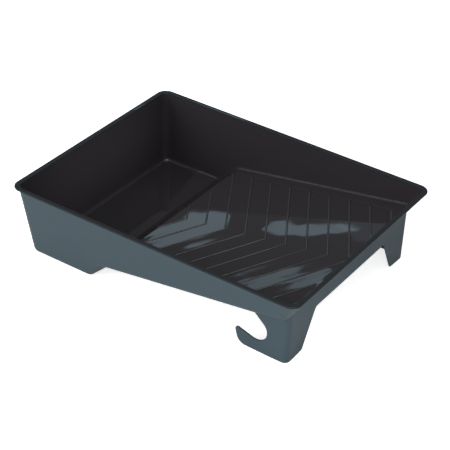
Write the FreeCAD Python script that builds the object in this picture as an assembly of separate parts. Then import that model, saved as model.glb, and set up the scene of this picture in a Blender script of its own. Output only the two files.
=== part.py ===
import FreeCAD, Part

import math
import os

from FreeCAD import Vector

# Paint roller tray in millimetres: one moulded tray shell and a frame with two hook legs that snaps in under its
# ramp.
# +X runs from the deep well to the shallow end of the ramp, +Y across, +Z up.
# The origin is on the ground, under the centre of the rim.

# Rim and walls
LENGTH = 400.0
WIDTH = 308.0
HEIGHT = 94.6
RIM_CORNER_RADIUS = 14.0
FLANGE_THICKNESS = 2.3
FLANGE_OVERHANG = 3.9
FLANGE_OVERHANG_AT_WELL = 4.7
FLANGE_EDGE_RADIUS = 0.8
MOUTH_EDGE_RADIUS = 1.0
WALL = 1.8
WALL_DRAFT = math.tan(math.radians(7.42))
RAMP_END_DRAFT = math.tan(math.radians(24.5))
STEEPEST_WALL_NORMAL_Z = 0.6
WALL_CORNER_RADIUS = 11.0
OUTSIDE_FOOT_RADIUS = 8.5
INSIDE_FOOT_RADIUS = 5.5

# Side profile of the well and the ramp
RAMP_SLOPE = 0.159
RAMP_HEIGHT_AT_CENTRE = 37.0
STEP_BOTTOM_X = -94.0
STEP_TOP_X = -68.5
STEP_OUTSIDE_RADIUS = 9.0
STEP_FOOT_RADIUS_INSIDE = 12.0
STEP_SHOULDER_RADIUS_INSIDE = 9.0

# Roll-out field on the ramp: a shallow recess with chevron beads
FIELD_DEPTH = 1.0
FIELD_HALF_WIDTH = 127.0
FIELD_END_X = 171.0
FIELD_SIDE_LEAN = math.tan(math.radians(30.0))
FIELD_CORNER_RADIUS = 6.0
BEAD_COUNT = 10
BEAD_FIRST_X = -50.7
BEAD_PITCH = 28.58
BEAD_SWEEP_BACK = 0.574
BEAD_HALF_WIDTH = 1.2
BEAD_HEIGHT = 0.9

# Leg frame: a U-shaped plate set in under the ramp end, its two corners carried down as hook legs
LEG_CORNER_X = 182.6
LEG_CORNER_Y = 134.0
LEG_DRAFT = math.tan(math.radians(0.2))
LEG_WALL = 2.0
LEG_CORNER_RADIUS = 7.0

# Side view of a leg: rung slot, finger below it, and foot
SLOT_RADIUS = 14.2
SLOT_CENTRE_X = 140.7
SLOT_CENTRE_Z = 29.9
SLOT_FLOOR_LEAN = math.radians(16.8)
SLOT_BACK_LEAN = math.radians(42.0)
FINGER_TIP_X = 111.8
FINGER_TIP_RADIUS = 3.0
FINGER_HEEL_X = 118.0
FINGER_HEEL_Z = 1.4
FINGER_HEEL_RADIUS = 13.0
FOOT_FRONT_X = 160.0

# End view of the frame: an apron across the ramp end, then each leg's free edge curving out to its foot
APRON_BOTTOM_Z = 47.5
APRON_END_Y = 77.5
APRON_FILLET_RADIUS = 5.0
FREE_EDGE_MIDDLE_Y = 89.3
FREE_EDGE_MIDDLE_Z = 25.0
FREE_EDGE_FOOT_Y = 101.8
FREE_EDGE_FOOT_Z = 1.2
FREE_EDGE_FOOT_RADIUS = 1.2
END_FOOT_Y = 118.0

# Ribs under the ramp that the top edge of the leg frame snaps over
RIB_DEPTH = 7.0
RIB_WALL = 2.0
RIB_CLEARANCE = 0.12
RIB_START_X = 152.0
RIB_START_Y = 80.0
SNAP_LENGTH = 10.0
SNAP_HEIGHT = 2.4
SNAP_REACH = 1.5
SNAP_CLEARANCE = 0.3
SNAP_DROP = 3.6
SIDE_SNAP_X = 163.0
END_SNAP_Y = 104.0

# Distance by which cutting shapes run past what they cut
BEYOND = 30.0


def ramp_z(x):
    """Height of the recessed roll-out field at x."""
    return RAMP_HEIGHT_AT_CENTRE + RAMP_SLOPE * x


def border_z(x):
    """Height of the plain border round the field."""
    return ramp_z(x) + FIELD_DEPTH


def underside_z(x):
    """Height of the ramp's underside."""
    return ramp_z(x) - WALL * math.hypot(1.0, RAMP_SLOPE)


def rounded_rectangle(x_min, x_max, y_min, y_max, radius, z):
    """Closed wire of four sides and four quarter-circle corners at height z."""
    turn = radius * (1.0 - math.sqrt(0.5))
    corners = [
        (x_max, y_min, -1, 1),
        (x_max, y_max, -1, -1),
        (x_min, y_max, 1, -1),
        (x_min, y_min, 1, 1),
    ]
    edges = []
    ends = []
    for index, (x, y, inward_x, inward_y) in enumerate(corners):
        along_x = Vector(x + inward_x * radius, y, z)
        along_y = Vector(x, y + inward_y * radius, z)
        middle = Vector(x + inward_x * turn, y + inward_y * turn, z)
        first, last = (along_x, along_y) if index % 2 == 0 else (along_y, along_x)
        edges.append(Part.Arc(first, middle, last).toShape())
        ends.append((first, last))
    for index in range(4):
        start = ends[index][1]
        finish = ends[(index + 1) % 4][0]
        edges.append(Part.makeLine(start, finish))
    return Part.Wire(Part.__sortEdges__(edges))


def wall_reach(half_size, overhang, draft, inset, z):
    """Distance from the centre to a drafted wall at height z, inset measured square to the wall."""
    return half_size - overhang - inset * math.hypot(1.0, draft) - draft * (HEIGHT - z)


def tapered_block(inset, radius, z_low, z_high):
    """Solid inside the drafted walls, moved in from the outside wall face by inset."""
    wires = []
    for z in (z_low, z_high):
        well = wall_reach(LENGTH / 2, FLANGE_OVERHANG_AT_WELL, WALL_DRAFT, inset, z)
        ramp = wall_reach(LENGTH / 2, FLANGE_OVERHANG, RAMP_END_DRAFT, inset, z)
        side = wall_reach(WIDTH / 2, FLANGE_OVERHANG, WALL_DRAFT, inset, z)
        wires.append(rounded_rectangle(-well, ramp, -side, side, radius, z))
    return Part.makeLoft(wires, True, True)


def prism_along_y(points, half_width):
    """Solid with the given x, z outline, reaching half_width to each side."""
    corners = [Vector(x, -half_width, z) for x, z in points]
    face = Part.Face(Part.makePolygon(corners + corners[:1]))
    return face.extrude(Vector(0, 2 * half_width, 0))


def closed_face(edges):
    """Flat face inside a closed loop of edges given in any order."""
    return Part.Face(Part.Wire(Part.__sortEdges__(edges)))


def edges_on_line(solid, **place):
    """Straight edges that run through a point given by two of x, y and z."""
    found = []
    for edge in solid.Edges:
        ends = [vertex.Point for vertex in edge.Vertexes]
        if all(abs(getattr(end, axis) - value) < 0.01 for end in ends for axis, value in place.items()):
            found.append(edge)
    return found


def profile_prism(points, roundings):
    """Prism of a side profile whose named corners are rounded: {point: radius}."""
    solid = prism_along_y(points, WIDTH)
    for (x, z), radius in roundings.items():
        solid = solid.makeFillet(radius, edges_on_line(solid, x=x, z=z))
    return solid


def foot_edges(solid, z_top):
    """Edges where the drafted walls meet the floor, the step and the ramp."""
    found = []
    for edge in solid.Edges:
        if edge.CenterOfMass.z > z_top:
            continue
        faces = solid.ancestorsOfType(edge, Part.Face)
        steep = [is_wall(face) for face in faces]
        if any(steep) and not all(steep):
            found.append(edge)
    return found


def is_wall(face):
    """True for the four drafted walls and their corners."""
    u_min, u_max, v_min, v_max = face.ParameterRange
    normal = face.normalAt((u_min + u_max) / 2, (v_min + v_max) / 2)
    return abs(normal.z) < STEEPEST_WALL_NORMAL_Z


def outside_body():
    """The tray's outer form, solid right through, without its flange."""
    step_bottom = (STEP_BOTTOM_X, 0.0)
    step_top = (STEP_TOP_X, underside_z(STEP_TOP_X))
    profile = [
        (-LENGTH, 0.0),
        step_bottom,
        step_top,
        (LENGTH, underside_z(LENGTH)),
        (LENGTH, HEIGHT + BEYOND * 2),
        (-LENGTH, HEIGHT + BEYOND * 2),
    ]
    prism = profile_prism(profile, {step_bottom: STEP_OUTSIDE_RADIUS, step_top: STEP_OUTSIDE_RADIUS})
    block = tapered_block(0.0, WALL_CORNER_RADIUS, -BEYOND, HEIGHT)
    body = block.common(prism)
    return body.makeFillet(OUTSIDE_FOOT_RADIUS, foot_edges(body, HEIGHT - 1.0))


def inside_space():
    """The hollow that holds the paint, up past the mouth."""
    run = STEP_TOP_X - STEP_BOTTOM_X
    rise = underside_z(STEP_TOP_X)
    slant = math.hypot(run, rise)
    offset_x = -WALL * rise / slant
    offset_z = WALL * run / slant
    step_slope = rise / run
    foot_x = STEP_BOTTOM_X + offset_x + (WALL - offset_z) / step_slope
    line_x = STEP_BOTTOM_X + offset_x
    shoulder_x = (offset_z - step_slope * line_x - border_z(0.0)) / (RAMP_SLOPE - step_slope)
    step_foot = (foot_x, WALL)
    step_shoulder = (shoulder_x, border_z(shoulder_x))
    top = HEIGHT + BEYOND
    profile = [
        (-LENGTH, WALL),
        step_foot,
        step_shoulder,
        (LENGTH, border_z(LENGTH)),
        (LENGTH, top),
        (-LENGTH, top),
    ]
    roundings = {step_foot: STEP_FOOT_RADIUS_INSIDE, step_shoulder: STEP_SHOULDER_RADIUS_INSIDE}
    prism = profile_prism(profile, roundings)
    block = tapered_block(WALL, WALL_CORNER_RADIUS - WALL / 2, -BEYOND, HEIGHT + BEYOND)
    space = block.common(prism)
    return space.makeFillet(INSIDE_FOOT_RADIUS, foot_edges(space, HEIGHT))


def flange():
    """Flat rim all round the mouth, solid across."""
    rim = rounded_rectangle(
        -LENGTH / 2, LENGTH / 2, -WIDTH / 2, WIDTH / 2, RIM_CORNER_RADIUS, HEIGHT - FLANGE_THICKNESS
    )
    plate = Part.Face(rim).extrude(Vector(0, 0, FLANGE_THICKNESS))
    around = [edge for edge in plate.Edges if is_level(edge)]
    return plate.makeFillet(FLANGE_EDGE_RADIUS, around)


def is_level(edge):
    """True for an edge that stays at one height."""
    return edge.BoundBox.ZLength < 0.001


def field_recess():
    """Shallow recess in the ramp, drawn flat and then tilted onto the ramp."""
    start_x = STEP_BOTTOM_X
    depth = FIELD_DEPTH * 3
    spread = depth * FIELD_SIDE_LEAN
    stretch = math.hypot(1.0, RAMP_SLOPE)
    length = (FIELD_END_X - start_x) * stretch
    low = rounded_rectangle(0, length, -FIELD_HALF_WIDTH, FIELD_HALF_WIDTH, FIELD_CORNER_RADIUS, 0)
    high = rounded_rectangle(
        0, length + spread, -FIELD_HALF_WIDTH - spread, FIELD_HALF_WIDTH + spread,
        FIELD_CORNER_RADIUS + spread, depth
    )
    recess = Part.makeLoft([low, high], True, True)
    recess.rotate(Vector(0, 0, 0), Vector(0, 1, 0), -math.degrees(math.atan(RAMP_SLOPE)))
    recess.translate(Vector(start_x, 0, ramp_z(start_x)))
    return recess


def bead_arm(apex_x, side):
    """One arm of a chevron bead, from its apex on the centre line back towards the well."""
    stretch = math.hypot(1.0, BEAD_SWEEP_BACK)
    half = BEAD_HALF_WIDTH * stretch
    sink = 0.4
    left = Vector(apex_x - half, 0, ramp_z(apex_x - half))
    crown = Vector(apex_x, 0, ramp_z(apex_x) + BEAD_HEIGHT)
    right = Vector(apex_x + half, 0, ramp_z(apex_x + half))
    below_right = right - Vector(0, 0, sink)
    below_left = left - Vector(0, 0, sink)
    outline = [
        Part.Arc(left, crown, right).toShape(),
        Part.makeLine(right, below_right),
        Part.makeLine(below_right, below_left),
        Part.makeLine(below_left, left),
    ]
    reach = FIELD_HALF_WIDTH + 1.0
    back = -BEAD_SWEEP_BACK * reach
    return Part.Face(Part.Wire(outline)).extrude(Vector(back, side * reach, RAMP_SLOPE * back))


def field_beads(inside):
    """All chevron beads, kept to the field and to the part of the ramp inside the tray."""
    apexes = [BEAD_FIRST_X + BEAD_PITCH * index for index in range(BEAD_COUNT)]
    arms = [bead_arm(apex_x, side) for apex_x in apexes for side in (-1, 1)]
    beads = arms[0].multiFuse(arms[1:])
    edge_x = FIELD_END_X + 1.0
    start_x = field_start_x()
    limits = [
        (start_x, ramp_z(start_x) - BEYOND),
        (edge_x, ramp_z(edge_x) - BEYOND),
        (edge_x, ramp_z(edge_x) + BEYOND),
        (start_x, ramp_z(start_x) + BEYOND),
    ]
    return beads.common(prism_along_y(limits, WIDTH)).common(inside)


def field_start_x():
    """Where the field's floor runs out into the step."""
    run = STEP_TOP_X - STEP_BOTTOM_X
    rise = underside_z(STEP_TOP_X)
    return STEP_TOP_X - WALL * rise / math.hypot(run, rise)


def corner_wall(inward, thickness):
    """Left half of the drafted U-shaped wall, its outer face moved inwards from the leg frame's."""
    solids = []
    for inset in (inward, inward + thickness):
        far_side = -BEYOND - inset
        wires = []
        for z in (0.0, HEIGHT):
            grow = LEG_DRAFT * z - inset
            x_max = LEG_CORNER_X + grow
            y_max = LEG_CORNER_Y + grow
            wires.append(rounded_rectangle(far_side, x_max, far_side, y_max, LEG_CORNER_RADIUS - inset, z))
        solids.append(Part.makeLoft(wires, True, True))
    return solids[0].cut(solids[1])


def slot_point(angle):
    """Point on the rung slot's arc at the given angle from +X, as x and z."""
    return (
        SLOT_CENTRE_X + SLOT_RADIUS * math.cos(angle),
        SLOT_CENTRE_Z + SLOT_RADIUS * math.sin(angle),
    )


def leg_side_view():
    """Prism of a leg's side view: foot, finger, rung slot and the part that goes up under the ramp."""
    floor_angle = -math.pi / 2 - SLOT_FLOOR_LEAN
    back_angle = math.pi / 2 - SLOT_BACK_LEAN
    floor_x, floor_z = slot_point(floor_angle)
    back_x, back_z = slot_point(back_angle)
    deep_x, deep_z = slot_point((floor_angle + back_angle) / 2)
    tip_z = floor_z + (floor_x - FINGER_TIP_X) * math.tan(SLOT_FLOOR_LEAN)
    top_x = back_x - (HEIGHT - back_z) / math.tan(SLOT_BACK_LEAN)
    slot_floor = Vector(floor_x, 0, floor_z)
    slot_back = Vector(back_x, 0, back_z)
    tip = Vector(FINGER_TIP_X, 0, tip_z)
    heel = Vector(FINGER_HEEL_X, 0, FINGER_HEEL_Z)
    foot_front = Vector(FOOT_FRONT_X, 0, 0)
    foot_back = Vector(LENGTH, 0, 0)
    top_back = Vector(LENGTH, 0, HEIGHT)
    top_front = Vector(top_x, 0, HEIGHT)
    edges = [
        Part.makeLine(foot_front, foot_back),
        Part.makeLine(foot_back, top_back),
        Part.makeLine(top_back, top_front),
        Part.makeLine(top_front, slot_back),
        Part.Arc(slot_back, Vector(deep_x, 0, deep_z), slot_floor).toShape(),
        Part.makeLine(slot_floor, tip),
        Part.makeLine(tip, heel),
        Part.makeLine(heel, foot_front),
    ]
    prism = closed_face(edges).extrude(Vector(0, 2 * WIDTH, 0))
    prism = prism.makeFillet(FINGER_TIP_RADIUS, edges_on_line(prism, x=tip.x, z=tip.z))
    prism = prism.makeFillet(FINGER_HEEL_RADIUS, edges_on_line(prism, x=heel.x, z=heel.z))
    prism.translate(Vector(0, -WIDTH, 0))
    return prism


def leg_end_view():
    """Prism of the frame's left half from the end: the apron, then the leg down to its foot."""
    apron_top = Vector(0, 0, HEIGHT)
    apron_bottom = Vector(0, 0, APRON_BOTTOM_Z)
    apron_end = Vector(0, APRON_END_Y, APRON_BOTTOM_Z)
    middle = Vector(0, FREE_EDGE_MIDDLE_Y, FREE_EDGE_MIDDLE_Z)
    edge_foot = Vector(0, FREE_EDGE_FOOT_Y, FREE_EDGE_FOOT_Z)
    foot = Vector(0, END_FOOT_Y, 0)
    outer_foot = Vector(0, WIDTH, 0)
    outer_top = Vector(0, WIDTH, HEIGHT)
    edges = [
        Part.makeLine(apron_top, apron_bottom),
        Part.makeLine(apron_bottom, apron_end),
        Part.Arc(apron_end, middle, edge_foot).toShape(),
        Part.makeLine(edge_foot, foot),
        Part.makeLine(foot, outer_foot),
        Part.makeLine(outer_foot, outer_top),
        Part.makeLine(outer_top, apron_top),
    ]
    prism = closed_face(edges).extrude(Vector(LENGTH, 0, 0))
    prism = prism.makeFillet(APRON_FILLET_RADIUS, edges_on_line(prism, y=apron_end.y, z=apron_end.z))
    return prism.makeFillet(FREE_EDGE_FOOT_RADIUS, edges_on_line(prism, y=edge_foot.y, z=edge_foot.z))


def mirrored(shape):
    """The same shape on the other side of the tray."""
    return shape.mirror(Vector(0, 0, 0), Vector(0, 1, 0))


def below_ramp(gap):
    """Everything lower than the ramp's underside by at least gap."""
    low = -BEYOND
    points = [
        (0.0, low),
        (LENGTH, low),
        (LENGTH, underside_z(LENGTH) - gap),
        (0.0, underside_z(0.0) - gap),
    ]
    return prism_along_y(points, WIDTH)


def leg_frame():
    """The U-shaped frame: apron, two hook legs with rung slots, and snap barbs inside its top edge."""
    half = corner_wall(0.0, LEG_WALL).common(leg_side_view()).common(leg_end_view())
    half = half.multiFuse(snap_blocks(SNAP_REACH, 0.0))
    return half.fuse(mirrored(half)).cut(outside_body()).removeSplitter()


def snap_blocks(reach, clearance):
    """Blocks inside the left leg's side and end plates: as barbs, or larger as the windows they catch in."""
    length = SNAP_LENGTH + 2 * clearance
    height = SNAP_HEIGHT + 2 * clearance
    root = 0.5
    side_z = underside_z(SIDE_SNAP_X) - SNAP_DROP
    side_y = LEG_CORNER_Y + LEG_DRAFT * side_z - LEG_WALL
    on_side = Part.makeBox(length, reach + root, height)
    on_side.translate(Vector(SIDE_SNAP_X - length / 2, side_y - reach, side_z - height / 2))
    end_z = underside_z(LEG_CORNER_X) - SNAP_DROP
    end_x = LEG_CORNER_X + LEG_DRAFT * end_z - LEG_WALL
    on_end = Part.makeBox(reach + root, length, height)
    on_end.translate(Vector(end_x - reach, END_SNAP_Y - length / 2, end_z - height / 2))
    return [on_side, on_end]


def left_rib():
    """L-shaped rib under the ramp, with windows for the left leg's barbs."""
    rib = corner_wall(LEG_WALL + RIB_CLEARANCE, RIB_WALL)
    rib = rib.cut(Part.makeCompound(snap_blocks(2 * RIB_WALL, SNAP_CLEARANCE)))
    band = below_ramp(-WALL / 2).cut(below_ramp(RIB_DEPTH))
    reach = Part.makeBox(LENGTH, LENGTH, LENGTH, Vector(RIB_START_X, RIB_START_Y, 0))
    return rib.common(band).common(reach)


def mouth_edges(solid):
    """Inner edge of the flange's top face."""
    found = []
    for edge in solid.Edges:
        box = edge.BoundBox
        if not is_level(edge) or abs(box.ZMax - HEIGHT) > 0.001:
            continue
        centre = edge.CenterOfMass
        inside_x = abs(centre.x) < LENGTH / 2 - FLANGE_OVERHANG
        inside_y = abs(centre.y) < WIDTH / 2 - FLANGE_OVERHANG
        if inside_x and inside_y:
            found.append(edge)
    return found


def tray_shell():
    """The one-piece tray: well, step, ramp with its bead field, walls, flange and the ribs for the legs."""
    hollow = inside_space()
    shell = outside_body().fuse(flange()).cut(hollow)
    shell = shell.makeFillet(MOUTH_EDGE_RADIUS, mouth_edges(shell))
    shell = shell.cut(field_recess())
    shell = shell.fuse(field_beads(tapered_block(WALL / 2, WALL_CORNER_RADIUS, 0.0, HEIGHT)))
    rib = left_rib()
    return shell.multiFuse([rib, mirrored(rib)]).removeSplitter()


def single_solid(shape):
    """The one solid of a finished piece."""
    if len(shape.Solids) != 1:
        raise ValueError("expected one solid, got %d" % len(shape.Solids))
    return shape.Solids[0]


def main():
    os.makedirs("parts", exist_ok=True)
    pieces = {
        "tray_shell": tray_shell(),
        "leg_frame": leg_frame(),
    }
    for name, shape in pieces.items():
        single_solid(shape).exportStep(os.path.join("parts", name + ".step"))


main()
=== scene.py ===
import math

import bpy
from mathutils import Matrix, Vector


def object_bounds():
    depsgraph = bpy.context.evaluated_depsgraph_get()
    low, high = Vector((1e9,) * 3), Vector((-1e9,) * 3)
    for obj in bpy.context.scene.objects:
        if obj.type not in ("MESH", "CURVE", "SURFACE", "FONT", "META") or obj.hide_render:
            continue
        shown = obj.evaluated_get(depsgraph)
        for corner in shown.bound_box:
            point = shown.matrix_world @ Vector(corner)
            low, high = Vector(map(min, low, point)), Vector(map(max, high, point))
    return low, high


# Looks of the paint roller tray: moulded black plastic, glossy inside, fine matt grain outside.
# Lengths are in metres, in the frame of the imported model: +X from the well to the ramp end, +Z up.

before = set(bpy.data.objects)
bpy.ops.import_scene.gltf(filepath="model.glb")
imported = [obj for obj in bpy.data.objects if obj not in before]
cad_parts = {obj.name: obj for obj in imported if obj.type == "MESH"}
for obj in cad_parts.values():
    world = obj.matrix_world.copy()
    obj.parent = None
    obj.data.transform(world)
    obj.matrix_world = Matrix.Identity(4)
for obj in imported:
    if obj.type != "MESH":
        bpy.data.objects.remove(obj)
cad_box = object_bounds()

SHELL = "tray_shell"
LEG_FRAME = "leg_frame"
WHITE = (1.0, 1.0, 1.0, 1.0)

# Camera
CAMERA_AZIMUTH = 32.783
CAMERA_ELEVATION = 33.673
CAMERA_ROLL = 2.944
CAMERA_DISTANCE = 1.8493
CAMERA_LENS = 120.59
SENSOR_WIDTH = 36.0
CAMERA_AIM = Vector((-0.0060, 0.0187, 0.0284))
CAMERA_CLIP = (0.1, 100.0)

# Plastic
INSIDE_COLOUR = (0.0275, 0.0250, 0.0280, 1.0)
RIM_COLOUR = (0.019, 0.024, 0.028, 1.0)
# Painted highlight: lighter colour along the bead crests, standing in for light caught by the rounded beads
BEAD_HIGHLIGHT_COLOUR = (0.050, 0.053, 0.056, 1.0)
OUTSIDE_COLOUR = (0.044, 0.070, 0.085, 1.0)
OUTSIDE_SHADE = (0.03784, 0.0602, 0.0731, 1.0)
INSIDE_ROUGHNESS = (0.02, 0.04)
OUTSIDE_ROUGHNESS = (0.48, 0.56)
GRAIN_SIZE = 0.0006
GRAIN_HEIGHT = 0.00006
CLOUD_SIZE = 0.05
NOISE_MIDDLE = (0.3, 0.7)
SCUFF_SIZE = 0.03
INSIDE_SPECULAR = 0.5
OUTSIDE_SPECULAR = 0.3
RIM_EDGE_SPECULAR = 0.05
PLASTIC_IOR = 1.49

# Upward part of the normal between which the grained outside gives way to the glossy inside
FACES_UP = (0.04, 0.10)

# Rim edge and chevron beads, as in the CAD part
RIM_EDGE_HEIGHTS = (0.0922, 0.0924)
BEAD_FIRST_X = -0.0507
BEAD_PITCH = 0.02858
BEAD_SWEEP_BACK = 0.574
BEAD_HALF_WIDTH = 0.0014
BEAD_CREST_SHARE = 0.7
BEAD_END_Y = 0.1245
BEAD_END_BLUR = 0.001
RAMP_START_X = -0.070
RAMP_START_BLUR = 0.004
SINK_DEPTH = 0.000012
WARP_SIZE = 0.05
WARP_HEIGHT = 0.00015

# Smooth shading
MERGE_DISTANCE = 1e-6
GENTLE_ANGLE = math.radians(28.0)

# Floor and surroundings; the glow and the sky differ for what the camera sees and what lights the tray
FLOOR_REACH = 30.0
FLOOR_COLOUR = (0.9, 0.9, 0.9, 1.0)
FLOOR_ROUGHNESS = 0.9
FLOOR_GLOW = 0.16
FLOOR_GLOW_SEEN = 0.78
SKY_AMBIENT = 0.36
SKY_MIRRORED = 0.12
SKY_SEEN = 1.0

# Points that lights are turned towards
LIGHT_AIM = Vector((0.0, 0.0, 0.05))
WELL_END = Vector((-0.18, 0.0, 0.07))

# Soft lights: name, azimuth, elevation, distance, width, height, power, whether they show in the gloss
SOFT_LIGHTS = (
    ("front_fill", -25.0, 20.0, 2.2, 1.6, 1.2, 34.0, False),
    ("edge_glint", -38.0, 43.0, 1.6, 1.2, 0.6, 1.8, True),
    ("overhead", 60.0, 78.0, 2.2, 1.4, 1.4, 11.0, True),
)

# Weak lights close by: one beyond the near leg, one over the ramp that shines into the well
END_FILL_PLACE = (0.48, -0.24, 0.15)
END_FILL_SIZE = (0.2, 0.2)
END_FILL_POWER = 0.45
WELL_FILL_PLACE = (0.15, 0.0, 0.16)
WELL_FILL_SIZE = (0.22, 0.03)
WELL_FILL_POWER = 0.032
WELL_FILL_SPREAD = math.radians(32.0)

# Panels mirrored in the ramp: name, centre, width, height, power, shape, tilt
PANEL_COLOUR = (0.60, 0.86, 1.0)
PANELS = (
    ("left_panel", (-0.961, 1.003, 0.606), 0.200, 0.060, 0.029, "ELLIPSE", 0.0),
    ("right_panel", (-0.728, 1.132, 0.650), 0.217, 0.024, 0.0125, "ELLIPSE", -10.0),
    ("near_panel", (-0.728, 0.986, 0.700), 0.230, 0.032, 0.016, "ELLIPSE", -6.0),
    ("far_panel", (-0.637, 1.220, 0.688), 0.140, 0.050, 0.003, "ELLIPSE", -20.0),
)


def link(tree, source, target):
    """Joins two sockets."""
    tree.links.new(source, target)


def feed(tree, socket, value):
    """Joins an input to a socket, or sets it to a plain value."""
    if isinstance(value, bpy.types.NodeSocket):
        link(tree, value, socket)
    else:
        socket.default_value = value


def add_node(tree, kind, **inputs):
    """New node with its named inputs set to values or joined to sockets."""
    node = tree.nodes.new(kind)
    for name, value in inputs.items():
        feed(tree, node.inputs[name.replace("_", " ")], value)
    return node


def maths(tree, operation, first, second=0.0):
    """Result of a math node."""
    node = tree.nodes.new("ShaderNodeMath")
    node.operation = operation
    for socket, value in zip(node.inputs, (first, second)):
        feed(tree, socket, value)
    return node.outputs[0]


def ramp_between(tree, value, low, high, to_low=0.0, to_high=1.0):
    """Value mapped smoothly from low..high to to_low..to_high."""
    node = tree.nodes.new("ShaderNodeMapRange")
    node.interpolation_type = "SMOOTHSTEP"
    link(tree, value, node.inputs["Value"])
    node.inputs["From Min"].default_value = low
    node.inputs["From Max"].default_value = high
    node.inputs["To Min"].default_value = to_low
    node.inputs["To Max"].default_value = to_high
    return node.outputs["Result"]


def noise(tree, place, size, detail=2.0):
    """Noise whose features are about size metres across, as a 0..1 value."""
    node = add_node(tree, "ShaderNodeTexNoise", Vector=place, Scale=1.0 / size, Detail=detail)
    return node.outputs["Fac"]


def mix_colour(tree, factor, first, second):
    """Blend of two colours: first at factor 0, second at factor 1."""
    node = tree.nodes.new("ShaderNodeMix")
    node.data_type = "RGBA"
    feed(tree, node.inputs["Factor"], factor)
    feed(tree, node.inputs["A"], first)
    feed(tree, node.inputs["B"], second)
    return node.outputs["Result"]


def plastic(name):
    """Material with one Principled shader, its node tree, the shader and the place on the object."""
    material = bpy.data.materials.new(name)
    material.use_nodes = True
    tree = material.node_tree
    place = tree.nodes.new("ShaderNodeTexCoord").outputs["Object"]
    return material, tree, tree.nodes["Principled BSDF"], place


def wire_plastic(tree, shader, colour, roughness, specular, height):
    """Joins the finish of a plastic to its shader."""
    bump = add_node(tree, "ShaderNodeBump", Height=height, Strength=1.0, Distance=1.0)
    feed(tree, shader.inputs["IOR"], PLASTIC_IOR)
    feed(tree, shader.inputs["Base Color"], colour)
    feed(tree, shader.inputs["Roughness"], roughness)
    feed(tree, shader.inputs["Specular IOR Level"], specular)
    feed(tree, shader.inputs["Normal"], bump.outputs["Normal"])


def outside_finish(tree, place):
    """Colour, roughness and height of the fine-grained outside."""
    cloud = noise(tree, place, CLOUD_SIZE, 3.0)
    grain = noise(tree, place, GRAIN_SIZE, 2.0)
    colour = mix_colour(tree, cloud, OUTSIDE_SHADE, OUTSIDE_COLOUR)
    roughness = ramp_between(tree, cloud, *NOISE_MIDDLE, *OUTSIDE_ROUGHNESS)
    height = maths(tree, "MULTIPLY", grain, GRAIN_HEIGHT)
    return colour, roughness, height


def bead_phase(tree, place):
    """Distance along the ramp in bead pitches, following the chevrons, and 1 where the beads run."""
    split = add_node(tree, "ShaderNodeSeparateXYZ", Vector=place)
    across = maths(tree, "ABSOLUTE", split.outputs["Y"])
    along = maths(tree, "ADD", split.outputs["X"], maths(tree, "MULTIPLY", across, BEAD_SWEEP_BACK))
    past_step = ramp_between(tree, split.outputs["X"], RAMP_START_X, RAMP_START_X + RAMP_START_BLUR)
    between_walls = ramp_between(tree, across, BEAD_END_Y, BEAD_END_Y + BEAD_END_BLUR, 1.0, 0.0)
    on_ramp = maths(tree, "MULTIPLY", past_step, between_walls)
    return maths(tree, "DIVIDE", maths(tree, "SUBTRACT", along, BEAD_FIRST_X), BEAD_PITCH), on_ramp


def sink_marks(tree, phase, on_ramp):
    """Very shallow waves of the ramp that run along the chevron beads, as a height."""
    wave = maths(tree, "COSINE", maths(tree, "MULTIPLY", phase, 2.0 * math.pi))
    return maths(tree, "MULTIPLY", maths(tree, "MULTIPLY", wave, on_ramp), SINK_DEPTH)


def bead_crest_highlight(tree, phase, on_ramp):
    """1 on the crest of a bead, where the colour gets a painted highlight, 0 between beads."""
    nearest = maths(tree, "ABSOLUTE", maths(tree, "SUBTRACT", phase, maths(tree, "ROUND", phase)))
    edge = BEAD_HALF_WIDTH / BEAD_PITCH
    crest = ramp_between(tree, nearest, BEAD_CREST_SHARE * edge, edge, 1.0, 0.0)
    return maths(tree, "MULTIPLY", crest, on_ramp)


def blend(tree, factor, first, second):
    """Blend of two numbers: first at factor 0, second at factor 1."""
    kept = maths(tree, "MULTIPLY", first, maths(tree, "SUBTRACT", 1.0, factor))
    return maths(tree, "ADD", kept, maths(tree, "MULTIPLY", second, factor))


def inside_finish(tree, place, on_rim):
    """Colour, roughness and height of the glossy inside and the rim, with a painted highlight along the bead
    crests.
    """
    phase, on_ramp = bead_phase(tree, place)
    warp = maths(tree, "MULTIPLY", noise(tree, place, WARP_SIZE, 1.0), WARP_HEIGHT)
    height = maths(tree, "ADD", warp, sink_marks(tree, phase, on_ramp))
    scuffs = noise(tree, place, SCUFF_SIZE, 4.0)
    roughness = ramp_between(tree, scuffs, *NOISE_MIDDLE, *INSIDE_ROUGHNESS)
    # Painted highlight: the bead crests are lightened in the base colour
    colour = mix_colour(tree, bead_crest_highlight(tree, phase, on_ramp), INSIDE_COLOUR, BEAD_HIGHLIGHT_COLOUR)
    return mix_colour(tree, on_rim, colour, RIM_COLOUR), roughness, height


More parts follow.
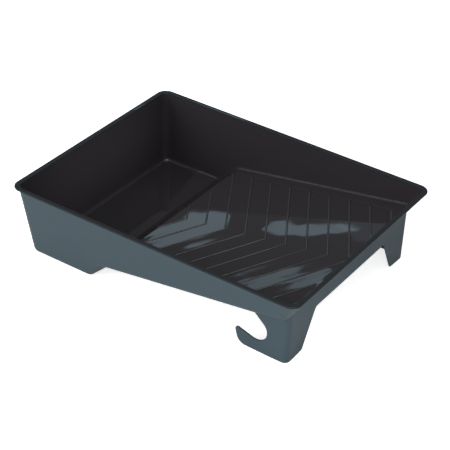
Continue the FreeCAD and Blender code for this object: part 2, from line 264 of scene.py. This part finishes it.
def shell_material():
    """Glossy on the rim and where the surface faces up into the tray, grained where it faces out or down."""
    material, tree, shader, place = plastic("moulded_black_plastic")
    normal = tree.nodes.new("ShaderNodeNewGeometry").outputs["True Normal"]
    upward = add_node(tree, "ShaderNodeSeparateXYZ", Vector=normal).outputs["Z"]
    faces_up = ramp_between(tree, upward, *FACES_UP)
    height_above = add_node(tree, "ShaderNodeSeparateXYZ", Vector=place).outputs["Z"]
    on_rim = ramp_between(tree, height_above, *RIM_EDGE_HEIGHTS)
    inside = maths(tree, "MAXIMUM", faces_up, on_rim)
    rim_edge = maths(tree, "MULTIPLY", on_rim, maths(tree, "SUBTRACT", 1.0, faces_up))
    out_colour, out_roughness, out_height = outside_finish(tree, place)
    in_colour, in_roughness, in_height = inside_finish(tree, place, on_rim)
    colour = mix_colour(tree, inside, out_colour, in_colour)
    roughness = blend(tree, inside, out_roughness, in_roughness)
    height = blend(tree, inside, out_height, in_height)
    specular = ramp_between(tree, inside, 0.0, 1.0, OUTSIDE_SPECULAR, INSIDE_SPECULAR)
    shine = ramp_between(tree, rim_edge, 0.0, 1.0, 1.0, RIM_EDGE_SPECULAR / INSIDE_SPECULAR)
    wire_plastic(tree, shader, colour, roughness, maths(tree, "MULTIPLY", specular, shine), height)
    return material


def leg_material():
    """Grained all over."""
    material, tree, shader, place = plastic("moulded_black_plastic_grained")
    colour, roughness, height = outside_finish(tree, place)
    wire_plastic(tree, shader, colour, roughness, OUTSIDE_SPECULAR, height)
    return material


def smooth_shading():
    """Geometry nodes that join split points and shade smooth across gentle edges."""
    tree = bpy.data.node_groups.new("smooth_by_angle", "GeometryNodeTree")
    tree.interface.new_socket("Geometry", in_out="INPUT", socket_type="NodeSocketGeometry")
    tree.interface.new_socket("Geometry", in_out="OUTPUT", socket_type="NodeSocketGeometry")
    start = tree.nodes.new("NodeGroupInput")
    end = tree.nodes.new("NodeGroupOutput")
    merge = tree.nodes.new("GeometryNodeMergeByDistance")
    merge.inputs["Distance"].default_value = MERGE_DISTANCE
    faces = tree.nodes.new("GeometryNodeSetShadeSmooth")
    faces.domain = "FACE"
    edges = tree.nodes.new("GeometryNodeSetShadeSmooth")
    edges.domain = "EDGE"
    angle = tree.nodes.new("GeometryNodeInputMeshEdgeAngle")
    gentle = tree.nodes.new("FunctionNodeCompare")
    gentle.operation = "LESS_THAN"
    link(tree, angle.outputs["Unsigned Angle"], gentle.inputs["A"])
    gentle.inputs["B"].default_value = GENTLE_ANGLE
    link(tree, start.outputs["Geometry"], merge.inputs["Geometry"])
    link(tree, merge.outputs["Geometry"], faces.inputs["Geometry"])
    link(tree, faces.outputs["Geometry"], edges.inputs["Geometry"])
    link(tree, gentle.outputs["Result"], edges.inputs["Shade Smooth"])
    link(tree, edges.outputs["Geometry"], end.inputs["Geometry"])
    return tree


def finish_piece(name, material, shading):
    """Gives a CAD node its material and its smooth fillets."""
    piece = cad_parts[name]
    piece.data.materials.clear()
    piece.data.materials.append(material)
    smooth = piece.modifiers.new("smooth", "NODES")
    smooth.node_group = shading
    weighted = piece.modifiers.new("flat_faces_stay_flat", "WEIGHTED_NORMAL")
    weighted.keep_sharp = True
    weighted.weight = 100


def make_floor():
    """Wide white floor at the object's lowest point; seen from below it is clear."""
    level = cad_box[0].z
    mesh = bpy.data.meshes.new("floor")
    signs = ((-1.0, -1.0), (1.0, -1.0), (1.0, 1.0), (-1.0, 1.0))
    corners = [(FLOOR_REACH * x_sign, FLOOR_REACH * y_sign, level) for x_sign, y_sign in signs]
    mesh.from_pydata(corners, [], [(0, 1, 2, 3)])
    floor = bpy.data.objects.new("floor", mesh)
    bpy.context.scene.collection.objects.link(floor)
    material = bpy.data.materials.new("pale_floor")
    material.use_nodes = True
    tree = material.node_tree
    shader = tree.nodes["Principled BSDF"]
    shader.inputs["Base Color"].default_value = FLOOR_COLOUR
    shader.inputs["Roughness"].default_value = FLOOR_ROUGHNESS
    shader.inputs["Emission Color"].default_value = WHITE
    camera_ray = tree.nodes.new("ShaderNodeLightPath").outputs["Is Camera Ray"]
    glow = blend(tree, camera_ray, FLOOR_GLOW, FLOOR_GLOW_SEEN)
    link(tree, glow, shader.inputs["Emission Strength"])
    clear = tree.nodes.new("ShaderNodeBsdfTransparent")
    below = tree.nodes.new("ShaderNodeNewGeometry").outputs["Backfacing"]
    mix = tree.nodes.new("ShaderNodeMixShader")
    link(tree, below, mix.inputs["Fac"])
    link(tree, shader.outputs["BSDF"], mix.inputs[1])
    link(tree, clear.outputs["BSDF"], mix.inputs[2])
    link(tree, mix.outputs["Shader"], tree.nodes["Material Output"].inputs["Surface"])
    mesh.materials.append(material)


def direction(azimuth, elevation):
    """Unit vector towards an azimuth and elevation in degrees; azimuth 0 is -Y and 90 is +X."""
    turn = math.radians(azimuth)
    rise = math.radians(elevation)
    return Vector((math.sin(turn) * math.cos(rise), -math.cos(turn) * math.cos(rise), math.sin(rise)))


def facing(back):
    """Rotation that looks along -back with +Z up in the picture."""
    right = Vector((0, 0, 1)).cross(back).normalized()
    up = back.cross(right)
    return Matrix((right, up, back)).transposed()


def area_light(name, place, width, height, power, shape="RECTANGLE", tilt=0.0, colour=(1.0, 1.0, 1.0),
               mirrored=True, aim=LIGHT_AIM):
    """Soft light at place, turned towards aim; mirrored says whether it shows in the gloss."""
    light = bpy.data.lights.new(name, "AREA")
    light.shape = shape
    light.color = colour
    light.size = width
    light.size_y = height
    light.energy = power
    holder = bpy.data.objects.new(name, light)
    bpy.context.scene.collection.objects.link(holder)
    back = (Vector(place) - aim).normalized()
    turn = facing(back) @ Matrix.Rotation(math.radians(tilt), 3, "Z")
    holder.matrix_world = Matrix.Translation(Vector(place)) @ turn.to_4x4()
    holder.visible_camera = False
    holder.visible_glossy = mirrored
    return holder


def make_lights():
    """Soft lights, two weak lights close by, and small panels behind the tray that mirror in the ramp."""
    for name, azimuth, elevation, distance, width, height, power, mirrored in SOFT_LIGHTS:
        place = LIGHT_AIM + distance * direction(azimuth, elevation)
        area_light(name, place, width, height, power, mirrored=mirrored)
    area_light("end_fill", END_FILL_PLACE, *END_FILL_SIZE, END_FILL_POWER, mirrored=False)
    well_fill = area_light("well_fill", WELL_FILL_PLACE, *WELL_FILL_SIZE, WELL_FILL_POWER,
                           mirrored=False, aim=WELL_END)
    well_fill.data.spread = WELL_FILL_SPREAD
    for name, place, width, height, power, shape, tilt in PANELS:
        area_light(name, place, width, height, power, shape, tilt, PANEL_COLOUR)


def make_world():
    """White to the camera, dim to mirror reflections, moderate to everything else."""
    world = bpy.data.worlds.new("studio")
    bpy.context.scene.world = world
    world.use_nodes = True
    tree = world.node_tree
    background = tree.nodes["Background"]
    path = tree.nodes.new("ShaderNodeLightPath")
    more_seen = maths(tree, "MULTIPLY", path.outputs["Is Camera Ray"], SKY_SEEN - SKY_AMBIENT)
    less_mirrored = maths(tree, "MULTIPLY", path.outputs["Is Glossy Ray"], SKY_MIRRORED - SKY_AMBIENT)
    strength = maths(tree, "ADD", maths(tree, "ADD", SKY_AMBIENT, more_seen), less_mirrored)
    background.inputs["Color"].default_value = WHITE
    link(tree, strength, background.inputs["Strength"])


def make_camera():
    """Long lens, seen from the ramp end's near side, slightly rolled."""
    camera = bpy.data.cameras.new("camera")
    camera.lens = CAMERA_LENS
    camera.sensor_width = SENSOR_WIDTH
    camera.clip_start, camera.clip_end = CAMERA_CLIP
    holder = bpy.data.objects.new("camera", camera)
    bpy.context.scene.collection.objects.link(holder)
    back = direction(CAMERA_AZIMUTH, CAMERA_ELEVATION)
    turn = facing(back) @ Matrix.Rotation(math.radians(CAMERA_ROLL), 3, "Z")
    holder.matrix_world = Matrix.Translation(CAMERA_AIM + back * CAMERA_DISTANCE) @ turn.to_4x4()
    bpy.context.scene.camera = holder


shading = smooth_shading()
finish_piece(SHELL, shell_material(), shading)
finish_piece(LEG_FRAME, leg_material(), shading)
make_floor()
make_lights()
make_world()
make_camera()
bpy.context.scene.view_settings.view_transform = "Standard"
